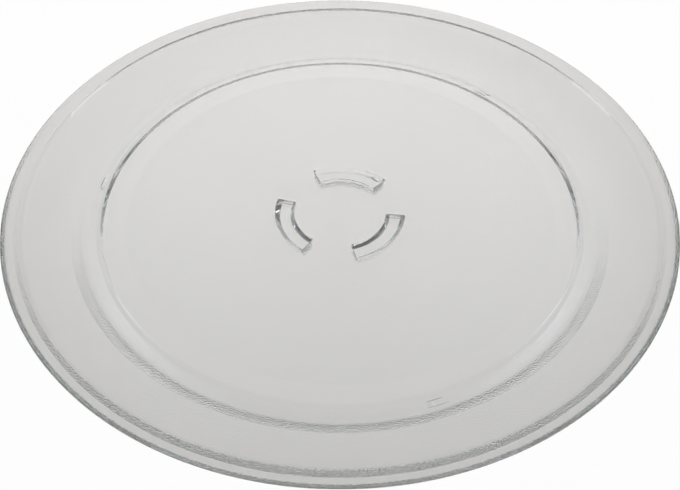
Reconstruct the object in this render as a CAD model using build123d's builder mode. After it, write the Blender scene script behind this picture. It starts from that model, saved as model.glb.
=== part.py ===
"""Glass turntable plate of a microwave oven, in millimetres.

The plate is pressed in one piece. It stands on z = 0 with its underside lugs, and +Z is the axis it turns about.
"""

import os
from math import atan2, tan

from build123d import *

# Wall of the pressed glass, measured straight down
glass_thickness = 5.0

# Raised centre, whose underside runs on the rollers, and the step down from it
centre_diameter = 259.2
step_run = 3.0
step_drop = 1.3
step_bend = 1.0

# Flat ridge under the foot of the step, the lowest ring of the plate, and the short slope out of it
ridge_width = 6.4
ridge_bend = 8.0
slope_run = 7.0

# Wide flange that climbs from the foot of the step to the rim
flange_width = 36.4
flange_rise = 10.0

# Lip round the flange, thinner than the flange and thinnest at the rim
lip_run = 1.8
lip_rise = 1.5
lip_width = 9.2
lip_thickness = 4.4
lip_wall_run = 4.4
lip_lift = 0.45

# Rim edge, whose wall leans in below its rounded upper corner
rim_lean_run = 3.95
rim_bend = 1.0

# Three lugs that the drive coupling turns
lug_count = 3
lug_first_angle = 90.0
lug_span = 70.0
lug_inner_diameter = 54.0
lug_width = 8.0
lug_height = 6.0
lug_draft_run = 2.0
lug_foot_radius = 0.6
lug_root_radius = 1.0

# Three small pads under the ridge
pad_count = 3
pad_first_angle = 60.0
pad_length = 7.4
pad_width = 4.0
pad_height = 0.8
pad_gap = 0.4

# Radii of the section, from the axis outwards
centre_radius = centre_diameter / 2
gutter_inner = centre_radius + step_run
ridge_outer = gutter_inner + ridge_width
slope_outer = ridge_outer + slope_run
flange_outer = gutter_inner + flange_width
lip_inner = flange_outer + lip_run
lip_foot = flange_outer + lip_wall_run
rim_radius = lip_inner + lip_width
step_shift = glass_thickness * tan(atan2(step_drop, step_run) / 2)

# Heights above the surface the plate stands on
centre_top = lug_height + glass_thickness
gutter_top = centre_top - step_drop
flange_top = gutter_top + flange_rise
rim_top = flange_top + lip_rise
lip_under = rim_top - lip_thickness
rim_foot = lip_under + lip_lift
ridge_under = gutter_top - glass_thickness
slope_top = gutter_top + flange_rise / flange_width * (slope_outer - gutter_inner)

# Upper corner of the rim before its bend, which brings it back to the rim's radius
rim_lean = atan2(rim_top - rim_foot, rim_lean_run)
rim_corner = rim_radius + rim_bend * (1 / tan(rim_lean / 2) - 1)

step_upper = (centre_radius, centre_top)
ridge_end = (ridge_outer, ridge_under)
rim_upper = (rim_corner, rim_top)
section_corners = [
    (0, centre_top),
    step_upper,
    (gutter_inner, gutter_top),
    (flange_outer, flange_top),
    (lip_inner, rim_top),
    rim_upper,
    (rim_corner - rim_lean_run, rim_foot),
    (lip_foot, lip_under),
    (flange_outer, flange_top - glass_thickness),
    (slope_outer, slope_top - glass_thickness),
    ridge_end,
    (gutter_inner - step_shift, ridge_under),
    (centre_radius - step_shift, lug_height),
    (0, lug_height),
]
section_bends = [
    (step_upper, step_bend),
    (ridge_end, ridge_bend),
    (rim_upper, rim_bend),
]

lug_inner = lug_inner_diameter / 2
lug_outer = lug_inner + lug_width
lug_root = lug_height + glass_thickness / 2
pad_middle = gutter_inner + pad_gap + pad_width / 2
pad_foot = ridge_under - pad_height

# One lug, with a straight inner wall for the coupling, a drafted outer wall and a rounded foot
with BuildPart() as lug:
    with BuildSketch(Plane.XZ):
        with BuildLine():
            Polyline(
                (lug_inner, lug_root),
                (lug_inner, 0),
                (lug_outer - lug_draft_run, 0),
                (lug_outer, lug_height),
                (lug_outer, lug_root),
                close=True,
            )
        make_face()
    revolve(axis=Axis.Z, revolution_arc=lug_span)
    fillet(lug.faces().sort_by(Axis.Z)[0].edges(), lug_foot_radius)

# The plate: one section turned about the axis, then the lugs and pads
with BuildPart() as plate:
    with BuildSketch(Plane.XZ) as section:
        with BuildLine():
            Polyline(*section_corners, close=True)
        make_face()
        for corner, bend in section_bends:
            fillet(section.vertices().sort_by_distance(corner)[0], bend)
    revolve(axis=Axis.Z)

    with PolarLocations(0, lug_count, start_angle=lug_first_angle - lug_span / 2):
        add(lug.part)
    hub_reach = lug_outer + lug_root_radius
    root_edges = (
        plate.edges()
        .filter_by_position(Axis.Z, lug_height, lug_height)
        .filter_by_position(Axis.X, -hub_reach, hub_reach)
        .filter_by_position(Axis.Y, -hub_reach, hub_reach)
    )
    fillet(root_edges, lug_root_radius)

    with BuildSketch(Plane.XY.offset(pad_foot)):
        with PolarLocations(pad_middle, pad_count, start_angle=pad_first_angle):
            Rectangle(pad_width, pad_length)
    extrude(amount=pad_height + glass_thickness / 2)

plate.part.label = "turntable_plate"

os.makedirs("parts", exist_ok=True)
export_step(plate.part, "parts/turntable_plate.step")

size = plate.part.bounding_box().size
print("turntable plate", round(size.X, 2), round(size.Y, 2), round(size.Z, 2))
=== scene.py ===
"""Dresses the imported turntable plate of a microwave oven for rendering.

The plate is one pressed piece of clear glass. Sizes are in millimetres, as in the CAD, and Blender's objects are in
metres.
"""

import logging
import math
from collections.abc import Sequence
from dataclasses import dataclass, field
from enum import Enum

import bpy
import numpy as np
from mathutils import Matrix, Vector


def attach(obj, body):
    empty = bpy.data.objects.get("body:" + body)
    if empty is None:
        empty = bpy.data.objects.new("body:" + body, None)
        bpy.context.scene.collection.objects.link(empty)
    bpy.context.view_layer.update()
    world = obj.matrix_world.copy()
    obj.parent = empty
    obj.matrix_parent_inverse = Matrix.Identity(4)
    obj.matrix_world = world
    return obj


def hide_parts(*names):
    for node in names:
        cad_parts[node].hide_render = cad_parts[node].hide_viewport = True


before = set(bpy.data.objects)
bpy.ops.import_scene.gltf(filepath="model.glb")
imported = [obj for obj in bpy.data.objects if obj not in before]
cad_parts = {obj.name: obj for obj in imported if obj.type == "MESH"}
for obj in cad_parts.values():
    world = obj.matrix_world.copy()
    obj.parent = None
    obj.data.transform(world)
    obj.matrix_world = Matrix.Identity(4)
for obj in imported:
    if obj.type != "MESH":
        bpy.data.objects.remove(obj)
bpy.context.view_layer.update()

log = logging.getLogger("turntable_plate")

MM = 0.001
PHOTO_WIDTH = 680
STIPPLE = "stipple"


def linear(code: str) -> tuple[float, float, float, float]:
    """Turns an sRGB hex colour to linear light.

    Args:
        code: Colour as "#rrggbb".

    Returns:
        Red, green, blue and alpha for a shader socket.
    """
    channels = [int(code[place : place + 2], 16) / 255 for place in (1, 3, 5)]
    red, green, blue = (c / 12.92 if c <= 0.04045 else ((c + 0.055) / 1.055) ** 2.4 for c in channels)
    return red, green, blue, 1.0


def add_node(tree: bpy.types.NodeTree, kind: str, inputs: dict | None = None, **settings: object) -> bpy.types.Node:
    """Adds a node to a tree, with its settings and links.

    Args:
        tree: Tree that the node goes into.
        kind: Blender's name for the kind of node.
        inputs: Value, or output socket of another node, for each input by name or number.
        **settings: Properties of the node itself.

    Returns:
        The new node.
    """
    node = tree.nodes.new(kind)
    for name, value in settings.items():
        setattr(node, name, value)
    for key, value in (inputs or {}).items():
        if isinstance(value, bpy.types.NodeSocket):
            tree.links.new(value, node.inputs[key])
        else:
            node.inputs[key].default_value = value
    return node


def ramp(value: np.ndarray, start: float, end: float) -> np.ndarray:
    """Rises from 0 at start to 1 at end."""
    return np.clip((value - start) / (end - start), 0.0, 1.0)


@dataclass(frozen=True)
class Corner:
    """A corner of the plate's section.

    Attributes:
        r: Distance from the turning axis.
        z: Height above the lug feet.
        bend: Radius that rounds the corner.
    """

    r: float
    z: float
    bend: float = 0.0


def rounded(corners: Sequence[Corner], steps: int = 6) -> np.ndarray:
    """Draws a line through corners and rounds those between its ends.

    Args:
        corners: Corners in order; the first and last are the line's ends.
        steps: Straight pieces in each bend.

    Returns:
        Points of the line, one row of r and z for each.
    """
    points = [(corners[0].r, corners[0].z)]
    for before, corner, after in zip(corners, corners[1:], corners[2:]):
        tip = np.array((corner.r, corner.z))
        back = np.array((before.r, before.z)) - tip
        ahead = np.array((after.r, after.z)) - tip
        back /= np.linalg.norm(back)
        ahead /= np.linalg.norm(ahead)
        half = math.acos(np.clip(back @ ahead, -1.0, 1.0)) / 2
        if corner.bend <= 0:
            points.append(tuple(tip))
            continue
        reach = corner.bend / math.tan(half)
        middle = tip + (back + ahead) / np.linalg.norm(back + ahead) * corner.bend / math.sin(half)
        first, last = tip + back * reach - middle, tip + ahead * reach - middle
        start = math.atan2(first[1], first[0])
        turn = (math.atan2(last[1], last[0]) - start + math.pi) % math.tau - math.pi
        for angle in start + turn * np.linspace(0.0, 1.0, steps + 1):
            points.append((middle[0] + corner.bend * math.cos(angle), middle[1] + corner.bend * math.sin(angle)))
    points.append((corners[-1].r, corners[-1].z))
    return np.array(points)


def with_rows(line: np.ndarray, spacing: float, guard: float = 0.3) -> np.ndarray:
    """Splits the long straight runs of a line.

    Args:
        line: Points of the line.
        spacing: Longest run that stays whole.
        guard: Length of the short run beside each bend, which keeps the bend's smooth shading off the flat.

    Returns:
        Points of the line with the new ones between them.
    """
    points = [line[0]]
    for start, end in zip(line, line[1:]):
        length = float(np.linalg.norm(end - start))
        if length > 4 * guard:
            count = max(1, math.ceil((length - 2 * guard) / spacing))
            for share in np.linspace(guard / length, 1 - guard / length, count + 1):
                points.append(start + (end - start) * share)
        points.append(end)
    return np.array(points)


@dataclass(frozen=True)
class PlateSection:
    """The turned section of the plate: a plain upper side, and an underside with a ridge, a slope and a thinner lip.

    Attributes:
        glass: Wall of the plate, measured straight down.
        lip_glass: Wall of the lip.
        centre_under: Height of the centre's underside.
        centre_radius: Upper end of the step round the raised centre.
        step_run: Width of the step.
        step_drop: Height of the step.
        step_bend: Radius of the step's hollow corners.
        step_crest_bend: Radius of its upper corner above.
        step_heel_bend: Radius of its lower corner below.
        ridge_outer: Outer end of the flat ridge under the gutter.
        ridge_bend: Radius between the ridge and the slope.
        slope_outer: Sharp outer end of the slope.
        slope_bend: Radius of that end.
        lip_root: Where the flange's underside turns up to the lip.
        lip_root_bend: Radius there.
        lip_foot: Where the lip's flat underside begins.
        lip_foot_bend: Radius there.
        lip_lift: How far the lip's underside rises from there to the foot of the rim.
        lip_run: Width of the short wall up to the lip's upper side.
        lip_rise: Height of that wall.
        lip_inner: Where the lip's flat upper side begins.
        lip_bend: Radius there and at the foot of the short wall.
        rim_top: Height of the lip's upper side.
        rim_radius: Largest radius of the plate.
        rim_draft: How far the rim's wall leans in from its upper corner to its foot.
        rim_bend: Radius of the upper corner.
        rim_foot_bend: Radius of the foot.
        row_spacing: Longest straight run between two rings of vertices.
    """

    glass: float = 5.0
    lip_glass: float = 4.4
    centre_under: float = 6.0
    centre_radius: float = 129.75
    step_run: float = 2.48
    step_drop: float = 1.3
    step_bend: float = 1.0
    step_crest_bend: float = 1.5
    step_heel_bend: float = 1.0
    ridge_outer: float = 139.0
    ridge_bend: float = 8.0
    slope_outer: float = 146.0
    slope_bend: float = 0.8
    lip_root: float = 169.0
    lip_root_bend: float = 5.0
    lip_foot: float = 173.4
    lip_foot_bend: float = 0.5
    lip_lift: float = 0.45
    lip_run: float = 1.8
    lip_rise: float = 1.5
    lip_inner: float = 170.8
    lip_bend: float = 0.7
    rim_top: float = 21.2
    rim_radius: float = 180.0
    rim_draft: float = 3.95
    rim_bend: float = 1.0
    rim_foot_bend: float = 3.0
    row_spacing: float = 6.0

    @property
    def centre_top(self) -> float:
        """Height of the centre's upper side."""
        return self.centre_under + self.glass

    @property
    def gutter_inner(self) -> float:
        """Lowest ring of the upper side, at the foot of the step."""
        return self.centre_radius + self.step_run

    @property
    def gutter_top(self) -> float:
        """Height of that ring."""
        return self.centre_top - self.step_drop

    @property
    def rim_corner(self) -> float:
        """Upper outer corner of the rim, before it is rounded."""
        lean = math.atan2(self.rim_top - self.rim_foot, self.rim_draft)
        return self.rim_radius + self.rim_bend * (1 / math.tan(lean / 2) - 1)

    @property
    def lip_under(self) -> float:
        """Height of the lip's underside at its inner end."""
        return self.rim_top - self.lip_glass

    @property
    def rim_foot(self) -> float:
        """Height of the foot of the rim."""
        return self.lip_under + self.lip_lift

    @property
    def lip_middle(self) -> float:
        """Where the sides of the wall hand over to the rim's edge."""
        return (self.lip_foot + self.rim_corner - self.rim_draft) / 2

    @property
    def polished_edge(self) -> tuple[float, float]:
        """Heights between which the rim's stipple fades to its fire-polished upper corner."""
        corner_start = self.rim_top - self.rim_bend
        return corner_start - self.rim_bend, corner_start

    def flange_under(self, r: float) -> float:
        """Height of the flange's underside at a distance from the axis."""
        rise = self.rim_top - self.lip_rise - self.gutter_top
        climb = rise / (self.lip_inner - self.lip_run - self.gutter_inner)
        return self.gutter_top + climb * (r - self.gutter_inner) - self.glass

    def upper_line(self) -> np.ndarray:
        """Draws the upper side.

        Returns:
            Points from the axis to the middle of the lip.
        """
        corners = [
            Corner(0.0, self.centre_top),
            Corner(self.centre_radius, self.centre_top, self.step_crest_bend),
            Corner(self.gutter_inner, self.gutter_top, self.step_bend),
            Corner(self.lip_inner - self.lip_run, self.rim_top - self.lip_rise, self.lip_bend),
            Corner(self.lip_inner, self.rim_top, self.lip_bend),
            Corner(self.lip_middle, self.rim_top),
        ]
        return with_rows(rounded(corners), self.row_spacing)

    def under_line(self) -> np.ndarray:
        """Draws the underside.

        Returns:
            Points from the axis to the middle of the lip.
        """
        step_shift = self.glass * math.tan(math.atan2(self.step_drop, self.step_run) / 2)
        ridge_under = self.gutter_top - self.glass
        corners = [
            Corner(0.0, self.centre_under),
            Corner(self.centre_radius - step_shift, self.centre_under, self.step_bend),
            Corner(self.gutter_inner - step_shift, ridge_under, self.step_heel_bend),
            Corner(self.ridge_outer, ridge_under, self.ridge_bend),
            Corner(self.slope_outer, self.flange_under(self.slope_outer), self.slope_bend),
            Corner(self.lip_root, self.flange_under(self.lip_root), self.lip_root_bend),
            Corner(self.lip_foot, self.lip_under, self.lip_foot_bend),
            Corner(self.lip_middle, (self.lip_under + self.rim_foot) / 2),
        ]
        return with_rows(rounded(corners), self.row_spacing)

    def edge_line(self) -> np.ndarray:
        """Draws the rim's edge, a drafted wall with rounded corners.

        Returns:
            Points from the middle of the lip's upper side to the middle of its underside.
        """
        corners = [
            Corner(self.lip_middle, self.rim_top),
            Corner(self.rim_corner, self.rim_top, self.rim_bend),
            Corner(self.rim_corner - self.rim_draft, self.rim_foot, self.rim_foot_bend),
            Corner(self.lip_middle, (self.lip_under + self.rim_foot) / 2),
        ]
        return with_rows(rounded(corners, steps=8), self.row_spacing)


@dataclass(frozen=True)
class RaisedForm:
    """An arc-shaped form that stands down from the underside, drafted all round.

    Attributes:
        inner: Radius of its inner wall at the root.
        outer: Radius of its outer wall at the root.
        length: Length along its middle arc.
        angle: Direction of its middle, in degrees.
        height: How far it stands down.
        inner_draft: How far its inner wall leans in from root to foot.
        outer_draft: The same for its outer wall.
        end_draft: The same for its ends.
        foot_bend: Radius round its foot.
        root_bend: Radius where it meets the underside.
        corner_bend: Radius of its upright corners.
    """

    inner: float
    outer: float
    length: float
    angle: float
    height: float
    inner_draft: float
    outer_draft: float
    end_draft: float
    foot_bend: float
    root_bend: float
    corner_bend: float

    @property
    def middle(self) -> float:
        """Radius of its middle arc."""
        return (self.inner + self.outer) / 2

    def wall_line(self, draft: float) -> np.ndarray:
        """How far down the form stands, by the distance outside its root line.

        Args:
            draft: How far the wall leans in.

        Returns:
            One row of distance and depth for each point, in order of distance.
        """
        spare = 3 * (self.foot_bend + self.root_bend)
        wall = [
            Corner(-draft - spare, self.height),
            Corner(-draft, self.height, self.foot_bend),
            Corner(0.0, 0.0, self.root_bend),
            Corner(spare, 0.0),
        ]
        return rounded(wall, steps=5)

    def radii(self) -> np.ndarray:
        """Radii at which the underside needs rings of vertices."""
        outer_steps = self.wall_line(self.outer_draft)[1:-1, 0]
        inner_steps = self.wall_line(self.inner_draft)[1:-1, 0]
        return np.concatenate([self.outer + outer_steps, self.inner - inner_steps])

    def turns(self) -> np.ndarray:
        """Directions in which the underside needs lines of vertices, in radians."""
        steps = (self.length / 2 + self.wall_line(self.end_draft)[1:-1, 0]) / self.middle
        return np.concatenate([math.radians(self.angle) + steps, math.radians(self.angle) - steps])

    def depth(self, r: np.ndarray, turn: np.ndarray) -> np.ndarray:
        """How far down the form stands at points of the underside.

        Args:
            r: Distances from the turning axis.
            turn: Directions in radians.

        Returns:
            Depth at each point.
        """
        aside = ((turn - math.radians(self.angle) + math.pi) % math.tau - math.pi) * self.middle
        across = np.abs(r - self.middle) - (self.outer - self.inner) / 2 + self.corner_bend
        along = np.abs(aside) - self.length / 2 + self.corner_bend
        outside = np.hypot(np.maximum(across, 0.0), np.maximum(along, 0.0))
        distance = outside + np.minimum(np.maximum(across, along), 0.0) - self.corner_bend
        walls = [self.wall_line(draft) for draft in (self.inner_draft, self.outer_draft, self.end_draft)]
        inner, outer, end = [np.interp(distance, wall[:, 0], wall[:, 1]) for wall in walls]
        side = inner + (outer - inner) * ramp(r, self.middle - self.foot_bend, self.middle + self.foot_bend)
        return side + (end - side) * ramp(along - across, -self.corner_bend, self.corner_bend)


@dataclass(frozen=True)
class PressedGlass:
    """Clear soda-lime glass, pressed in a mould and fire-polished.

    The plunger leaves the upper side smooth, so it is as clear as a window. The mould's stippled face leaves a fine
    grain under most of the plate, which breaks up what lies below. The grain is drawn as coarse as it needs to be
    to show. Long ways through the wall turn grey-green.

    Attributes:
        tint: Colour of the surface, which leaves the light as it is.
        absorbed: Colour that a long way through the glass tends to.
        density: How fast it tends to that, for each metre.
        shade: Light that one surface lets through to the floor.
        ior: Index of refraction of soda-lime glass.
        roughness: Roughness of the fire-polished surface.
        grain: Width of one grain of the stipple.
        grain_depth: Depth of the stipple.
    """

    tint: str = "#ffffff"
    absorbed: str = "#a6b2a8"
    density: float = 3.5
    shade: str = "#fdfdfc"
    ior: float = 1.52
    roughness: float = 0.0
    grain: float = 0.85
    grain_depth: float = 0.09

    def material(self) -> bpy.types.Material:
        """Makes the material.

        Returns:
            Glass with the stipple where the mesh's own mask has it.
        """
        material = bpy.data.materials.new("pressed_glass")
        material.use_nodes = True
        tree = material.node_tree
        tree.nodes.clear()
        place = add_node(tree, "ShaderNodeTexCoord")
        grain = add_node(
            tree,
            "ShaderNodeTexVoronoi",
            {"Vector": place.outputs["Object"], "Scale": 1 / (self.grain * MM)},
            voronoi_dimensions="2D",
        )
        mask = add_node(tree, "ShaderNodeAttribute", attribute_name=STIPPLE)
        height = add_node(
            tree, "ShaderNodeMath", {0: grain.outputs["Distance"], 1: mask.outputs["Fac"]}, operation="MULTIPLY"
        )
        bump = add_node(
            tree,
            "ShaderNodeBump",
            {"Height": height.outputs["Value"], "Strength": 1.0, "Distance": self.grain_depth * MM},
        )
        glass = add_node(
            tree,
            "ShaderNodeBsdfPrincipled",
            {
                "Base Color": linear(self.tint),
                "Roughness": self.roughness,
                "IOR": self.ior,
                "Transmission Weight": 1.0,
                "Normal": bump.outputs["Normal"],
            },
        )
        clear = add_node(tree, "ShaderNodeBsdfTransparent", {"Color": linear(self.shade)})
        ray = add_node(tree, "ShaderNodeLightPath")
        surface = add_node(
            tree,
            "ShaderNodeMixShader",
            {0: ray.outputs["Is Shadow Ray"], 1: glass.outputs["BSDF"], 2: clear.outputs["BSDF"]},
        )
        body = add_node(
            tree, "ShaderNodeVolumeAbsorption", {"Color": linear(self.absorbed), "Density": self.density}
        )
        add_node(
            tree,
            "ShaderNodeOutputMaterial",
            {"Surface": surface.outputs["Shader"], "Volume": body.outputs["Volume"]},
        )
        return material


class Side(Enum):
    """Side of the plate that a ring of vertices lies on."""

    UPPER = "upper"
    EDGE = "edge"
    UNDER = "under"


@dataclass
class TurntablePlate:
    """The plate itself: the turned section with three drive lugs and three small pads under it.

    Attributes:
        section: The turned section.
        finish: The glass.
        turns: Lines of vertices round the axis, before those that the lugs and pads add.
        lug_count: Number of lugs.
        lug_angle: Direction of the first lug's middle, in degrees.
        lug_inner: Radius of a lug's inner wall at its root.
        lug_width: Width of a lug at its root.
        lug_span: Angle that a lug covers, in degrees.
        lug_inner_draft: How far a lug's inner wall leans in from root to foot.
        lug_outer_draft: The same for its outer wall.
        lug_end_draft: The same for its ends.
        lug_foot_bend: Radius round a lug's foot.
        lug_root_bend: Radius where a lug meets the underside.
        lug_corner_bend: Radius of a lug's upright corners.
        pad_count: Number of pads.
        pad_angle: Direction of the first pad, in degrees.
        pad_gap: Space between the foot of the step and a pad.
        pad_width: Width of a pad, across the ring.
        pad_length: Length of a pad, along the ring.
        pad_height: How far a pad stands down.
        pad_draft: How far a pad's walls lean in.
        pad_bend: Radius of a pad's edges and corners.
        track_inner: Inner end of the smooth ring that the rollers run on.
        track_outer: Outer end of the smooth ring, past the step.
        track_fade: Half the width over which the stipple ends at the track, and the width over which it deepens
            from the ridge to the slope.
        stipple_fade: Half the width of its sharper changes.
        centre_share: Depth of the stipple under the centre, as a share of the grain's depth.
        ridge_share: The same on the ridge.
        slope_share: The same on the slope.
        flange_share: The same under the flange.
        lip_foot_share: The same where the lip's underside begins.
        lip_share: The same under the lip.
    """

    section: PlateSection = field(default_factory=PlateSection)
    finish: PressedGlass = field(default_factory=PressedGlass)
    turns: int = 288
    lug_count: int = 3
    lug_angle: float = 90.0
    lug_inner: float = 25.4
    lug_width: float = 10.2
    lug_span: float = 71.0
    lug_inner_draft: float = 1.6
    lug_outer_draft: float = 2.6
    lug_end_draft: float = 0.4
    lug_foot_bend: float = 0.6
    lug_root_bend: float = 1.0
    lug_corner_bend: float = 1.0
    pad_count: int = 3
    pad_angle: float = 60.0
    pad_gap: float = 0.4
    pad_width: float = 4.0
    pad_length: float = 7.4
    pad_height: float = 0.8
    pad_draft: float = 0.15
    pad_bend: float = 0.25
    track_inner: float = 117.0
    track_outer: float = 132.9
    track_fade: float = 1.5
    stipple_fade: float = 0.6
    centre_share: float = 1.3
    ridge_share: float = 0.5
    slope_share: float = 1.4
    flange_share: float = 1.3
    lip_foot_share: float = 1.0
    lip_share: float = 0.3

    def lugs(self) -> list[RaisedForm]:
        """The three lugs that the drive coupling turns."""
        middle = self.lug_inner + self.lug_width / 2
        return [
            RaisedForm(
                inner=self.lug_inner,
                outer=self.lug_inner + self.lug_width,
                length=math.radians(self.lug_span) * middle,
                angle=self.lug_angle + 360 / self.lug_count * number,
                height=self.section.centre_under,
                inner_draft=self.lug_inner_draft,
                outer_draft=self.lug_outer_draft,
                end_draft=self.lug_end_draft,
                foot_bend=self.lug_foot_bend,
                root_bend=self.lug_root_bend,
                corner_bend=self.lug_corner_bend,
            )
            for number in range(self.lug_count)
        ]

    def pads(self) -> list[RaisedForm]:
        """The three small pads under the gutter."""
        inner = self.section.gutter_inner + self.pad_gap
        return [
            RaisedForm(
                inner=inner,
                outer=inner + self.pad_width,
                length=self.pad_length,
                angle=self.pad_angle + 360 / self.pad_count * number,
                height=self.pad_height,
                inner_draft=self.pad_draft,
                outer_draft=self.pad_draft,
                end_draft=self.pad_draft,
                foot_bend=self.pad_bend,
                root_bend=self.pad_bend,
                corner_bend=self.pad_bend,
            )
            for number in range(self.pad_count)
        ]

    def directions(self, forms: Sequence[RaisedForm]) -> np.ndarray:
        """Directions of the mesh's lines of vertices, closer together at the ends of the raised forms.

        Args:
            forms: Lugs and pads.

        Returns:
            Angles in radians, in order.
        """
        even = np.arange(self.turns) * math.tau / self.turns
        angles = np.sort(np.concatenate([even] + [form.turns() % math.tau for form in forms]))
        least = 0.0009
        return angles[np.concatenate([[True], np.diff(angles) > least])]

    def under_radii(self, line: np.ndarray, forms: Sequence[RaisedForm]) -> np.ndarray:
        """Radii of the underside's rings, closer together at the walls of the raised forms and at the stipple's ends.

        Args:
            line: Underside of the section.
            forms: Lugs and pads.

        Returns:
            Radii from the axis outwards.
        """
        radii = np.sort(np.concatenate([line[1:, 0], self.stipple_line()[1:, 0]] + [form.radii() for form in forms]))
        least = 0.02
        radii = radii[np.concatenate([[True], np.diff(radii) > least])]
        return radii[radii <= line[-1, 0]]

    def stipple_line(self) -> np.ndarray:
        """How deep the mould's stipple is from the axis outwards, as a share of the grain's depth.

        Returns:
            One row of radius and share for each point.
        """
        section, fade = self.section, self.stipple_fade
        return np.array(
            [
                (0.0, self.centre_share),
                (self.track_inner - self.track_fade, self.centre_share),
                (self.track_inner + self.track_fade, 0.0),
                (self.track_outer - fade, 0.0),
                (self.track_outer + fade, self.ridge_share),
                (section.ridge_outer - self.track_fade, self.ridge_share),
                (section.ridge_outer, self.slope_share),
                (section.slope_outer - fade, self.slope_share),
                (section.slope_outer + fade, self.flange_share),
                (section.lip_root, self.flange_share),
                (section.lip_foot, self.lip_foot_share),
                (section.lip_foot + fade, self.lip_share),
                (section.lip_middle, self.lip_share),
            ]
        )

    def stipple(self, r: np.ndarray, raised: np.ndarray) -> np.ndarray:
        """Where the mould's stipple lies on the underside.

        Args:
            r: Distances from the turning axis.
            raised: Depth of the lugs and pads there.

        Returns:
            Shares of the grain's depth, 0 on the smooth roller track, step, lugs and pads.
        """
        line = self.stipple_line()
        smooth_from = 0.5
        return np.interp(r, line[:, 0], line[:, 1]) * (1 - ramp(raised, 0.0, smooth_from))

    def rings(self, turn: np.ndarray, forms: Sequence[RaisedForm]) -> tuple[np.ndarray, np.ndarray]:
        """Lays out the rings of vertices, down the upper side, round the edge and back along the underside.

        Args:
            turn: Directions of the lines of vertices.
            forms: Lugs and pads.

        Returns:
            Places of the vertices and their stipple, by ring and line.
        """
        upper, edge, under = self.section.upper_line(), self.section.edge_line(), self.section.under_line()
        radii = self.under_radii(under, forms)
        rows = [(r, z, Side.UPPER) for r, z in upper[1:]]
        rows += [(r, z, Side.EDGE) for r, z in edge[1:-1]]
        rows += [(r, z, Side.UNDER) for r, z in zip(radii[::-1], np.interp(radii, under[:, 0], under[:, 1])[::-1])]
        places, stippled = [], []
        for r, z, side in rows:
            ring = np.full_like(turn, r)
            raised = np.zeros_like(turn)
            if side is Side.UNDER:
                raised = sum(form.depth(ring, turn) for form in forms)
            places.append(np.stack([ring * np.cos(turn), ring * np.sin(turn), z - raised], axis=1))
            if side is Side.UPPER:
                stippled.append(raised)
            elif side is Side.EDGE:
                stippled.append(1 - ramp(np.full_like(turn, z), *self.section.polished_edge))
            else:
                stippled.append(self.stipple(ring, raised))
        return np.array(places), np.array(stippled)

    def build(self) -> bpy.types.Object:
        """Builds the plate's mesh, closed and smooth.

        Returns:
            The plate, in the CAD's frame.
        """
        forms = self.lugs() + self.pads()
        turn = self.directions(forms)
        places, stippled = self.rings(turn, forms)
        ring_count, line_count = stippled.shape
        top = np.array([[0.0, 0.0, self.section.centre_top]])
        bottom = np.array([[0.0, 0.0, self.section.centre_under]])
        vertices = np.concatenate([top, places.reshape(-1, 3), bottom]) * MM
        here = np.arange(line_count)
        beside = np.roll(here, -1)
        first, last = 1, 1 + (ring_count - 1) * line_count
        faces = [(0, first + a, first + b) for a, b in zip(here, beside)]
        for ring in range(ring_count - 1):
            start = first + ring * line_count
            end = start + line_count
            faces += [(start + a, end + a, end + b, start + b) for a, b in zip(here, beside)]
        faces += [(len(vertices) - 1, last + b, last + a) for a, b in zip(here, beside)]
        mesh = bpy.data.meshes.new("pressed_plate")
        mesh.from_pydata(vertices.tolist(), [], [tuple(int(corner) for corner in face) for face in faces])
        mesh.shade_smooth()
        mask = mesh.attributes.new(STIPPLE, "FLOAT", "POINT")
        floor_mask = np.ones(1)
        mask.data.foreach_set("value", np.concatenate([np.zeros(1), stippled.ravel(), floor_mask]))
        plate = bpy.data.objects.new("pressed_plate", mesh)
        bpy.context.collection.objects.link(plate)
        return plate

    def dress(self, plate: bpy.types.Object) -> None:
        """Gives the plate its glass and puts it in the place of the CAD node.

        Args:
            plate: The plate's mesh object.
        """
        plate.data.materials.append(self.finish.material())
        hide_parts("turntable_plate")
        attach(plate, "root")


@dataclass(frozen=True)
class PaperSweep:
    """Matt white paper under the plate, bright enough to the camera to look white.

    Attributes:
        colour: Colour of the paper.
        camera_share: Share of plain white that the camera sees in its place.
    """

    colour: str = "#dedbd8"
    camera_share: float = 0.96

    def material(self) -> bpy.types.Material:
        """Makes the material.

        Returns:
            Matt paper that keeps the plate's shadow.
        """
        material = bpy.data.materials.new("white_paper")
        material.use_nodes = True
        tree = material.node_tree
        tree.nodes.clear()
        paper = add_node(tree, "ShaderNodeBsdfDiffuse", {"Color": linear(self.colour)})
        white = add_node(tree, "ShaderNodeEmission", {"Color": linear("#ffffff"), "Strength": 1.0})
        ray = add_node(tree, "ShaderNodeLightPath")
        share = add_node(
            tree, "ShaderNodeMath", {0: ray.outputs["Is Camera Ray"], 1: self.camera_share}, operation="MULTIPLY"
        )
        surface = add_node(
            tree,
            "ShaderNodeMixShader",
            {0: share.outputs["Value"], 1: paper.outputs["BSDF"], 2: white.outputs["Emission"]},
        )
        add_node(tree, "ShaderNodeOutputMaterial", {"Surface": surface.outputs["Shader"]})
        return material


@dataclass(frozen=True)
class Softbox:
    """A square soft lamp.

    Attributes:
        name: What it is called.
        place: Where it hangs, facing the plate, in metres, with +Y away from the camera.
        side: Length of its side, in metres.
        watts: Its power.
        colour: Colour of its light.
        seen: Whether the glass mirrors it. One that it doesn't mirror loses no light on its way through the glass.
    """

    name: str
    place: tuple[float, float, float]
    side: float
    watts: float
    colour: str = "#ffffff"
    seen: bool = True


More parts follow.
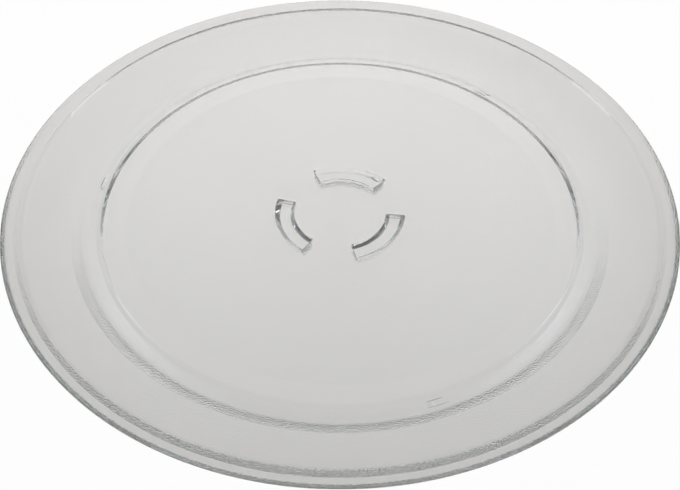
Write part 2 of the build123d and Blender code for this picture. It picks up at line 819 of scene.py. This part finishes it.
@dataclass
class Studio:
    """The stage round the plate: paper, soft light from behind and above, and the camera in front.

    Attributes:
        paper: The paper's finish.
        paper_side: Length of the paper's side, in metres.
        paper_gap: Air between the paper and the lug feet, without which the feet would show no dark lines.
        heading: Direction that the camera looks in, in degrees from +Y.
        eye_distance: Distance from the camera to the middle of the rim, in metres.
        eye_elevation: Height of the camera above the rim's plane, as an angle in degrees.
        eye_pitch: How far down the camera looks, in degrees.
        focal_pixels: Focal length, in pixels of the photograph.
        rim_plane: Height of the rim's plane that the camera was fitted to.
        sensor_width: Width of the camera's sensor.
        sky_dark: Light of most of the room.
        sky_bright: Light of its brightest place, behind the plate.
        sky_from: Cosine of the angle from that place at which the room is dark.
        sky_to: Cosine of the angle at which it is brightest.
        sky_middle: Direction of that place, with +Y away from the camera.
        bounces: How often light may turn inside the glass.
        lamps: The softboxes.
    """

    paper: PaperSweep = field(default_factory=PaperSweep)
    paper_side: float = 8.0
    paper_gap: float = 0.05
    heading: float = 10.4
    eye_distance: float = 0.600
    eye_elevation: float = 44.558
    eye_pitch: float = 47.108
    focal_pixels: float = 1108.5
    rim_plane: float = 19.9
    sensor_width: float = 36.0
    sky_dark: float = 0.10
    sky_bright: float = 0.6
    sky_from: float = 0.92
    sky_to: float = 0.996
    sky_middle: tuple[float, float, float] = (0.0, 1.0, 0.9)
    bounces: int = 48
    lamps: tuple[Softbox, ...] = (
        Softbox("softbox_left", (-0.75, 0.5, 1.1), 0.5, 2.0, "#e6f0ff"),
        Softbox("softbox_right", (0.75, 0.5, 1.1), 0.5, 2.0, "#e6f0ff"),
        Softbox("softbox_top", (0.0, 0.24, 0.6), 0.5, 3.55, seen=False),
    )

    def turned(self, x: float, y: float, z: float) -> Vector:
        """Turns a place in the studio to the plate's frame."""
        return Matrix.Rotation(math.radians(self.heading), 3, "Z") @ Vector((x, y, z))

    def lay_paper(self) -> None:
        """Lays the paper that the lugs stand on."""
        half, low = self.paper_side / 2, -self.paper_gap * MM
        mesh = bpy.data.meshes.new("paper_floor")
        corners = [(-half, -half, low), (half, -half, low), (half, half, low), (-half, half, low)]
        mesh.from_pydata(corners, [], [(0, 1, 2, 3)])
        mesh.materials.append(self.paper.material())
        floor = bpy.data.objects.new("paper_floor", mesh)
        bpy.context.collection.objects.link(floor)

    def light_world(self) -> None:
        """Lights the room dimly, brighter behind the plate, and white where the camera looks past the paper."""
        world = bpy.data.worlds.new("studio_room")
        bpy.context.scene.world = world
        world.use_nodes = True
        tree = world.node_tree
        tree.nodes.clear()
        place = add_node(tree, "ShaderNodeTexCoord")
        behind = self.turned(*self.sky_middle).normalized()
        facing = add_node(
            tree,
            "ShaderNodeVectorMath",
            {0: place.outputs["Generated"], 1: tuple(behind)},
            operation="DOT_PRODUCT",
        )
        level = add_node(
            tree,
            "ShaderNodeMapRange",
            {
                "Value": facing.outputs["Value"],
                "From Min": self.sky_from,
                "From Max": self.sky_to,
                "To Min": self.sky_dark,
                "To Max": self.sky_bright,
            },
            interpolation_type="SMOOTHSTEP",
        )
        ray = add_node(tree, "ShaderNodeLightPath")
        strength = add_node(
            tree,
            "ShaderNodeMath",
            {0: level.outputs["Result"], 1: ray.outputs["Is Camera Ray"]},
            operation="MAXIMUM",
        )
        sky = add_node(
            tree, "ShaderNodeBackground", {"Color": linear("#ffffff"), "Strength": strength.outputs["Value"]}
        )
        add_node(tree, "ShaderNodeOutputWorld", {"Surface": sky.outputs["Background"]})

    def hang_lamps(self) -> None:
        """Hangs the softboxes."""
        for softbox in self.lamps:
            light = bpy.data.lights.new(softbox.name, "AREA")
            light.size = softbox.side
            light.energy = softbox.watts
            light.color = linear(softbox.colour)[:3]
            light.cycles.use_multiple_importance_sampling = softbox.seen
            lamp = bpy.data.objects.new(softbox.name, light)
            lamp.location = self.turned(*softbox.place)
            lamp.rotation_euler = (-lamp.location).to_track_quat("-Z", "Y").to_euler()
            lamp.visible_glossy = softbox.seen
            lamp.visible_transmission = softbox.seen
            bpy.context.collection.objects.link(lamp)

    def set_camera(self) -> None:
        """Sets the camera where the photograph was taken from."""
        lens = bpy.data.cameras.new("camera")
        lens.sensor_fit = "HORIZONTAL"
        lens.sensor_width = self.sensor_width
        lens.lens = self.focal_pixels * self.sensor_width / PHOTO_WIDTH
        camera = bpy.data.objects.new("camera", lens)
        elevation, pitch = math.radians(self.eye_elevation), math.radians(self.eye_pitch)
        back, up = self.eye_distance * math.cos(elevation), self.eye_distance * math.sin(elevation)
        camera.location = self.turned(0.0, -back, up + self.rim_plane * MM)
        camera.rotation_euler = (math.pi / 2 - pitch, 0.0, math.radians(self.heading))
        bpy.context.collection.objects.link(camera)
        bpy.context.scene.camera = camera

    def follow_light(self) -> None:
        """Lets light run on inside the glass, where it turns back at the surface many times."""
        cycles = bpy.context.scene.cycles
        cycles.max_bounces = self.bounces
        cycles.glossy_bounces = self.bounces
        cycles.transmission_bounces = self.bounces

    def set_up(self) -> None:
        """Sets up paper, light and camera."""
        self.lay_paper()
        self.light_world()
        self.hang_lamps()
        self.set_camera()
        self.follow_light()
        bpy.context.scene.view_settings.view_transform = "Standard"


def main() -> None:
    """Builds and dresses the plate, then sets up the studio."""
    logging.basicConfig(level=logging.INFO, format="%(name)s: %(message)s")
    turntable = TurntablePlate()
    plate = turntable.build()
    turntable.dress(plate)
    log.info("%s: %d vertices, %d faces", plate.name, len(plate.data.vertices), len(plate.data.polygons))
    Studio().set_up()
    log.info("studio: paper, lamps and camera set")


if __name__ == "__main__":
    main()
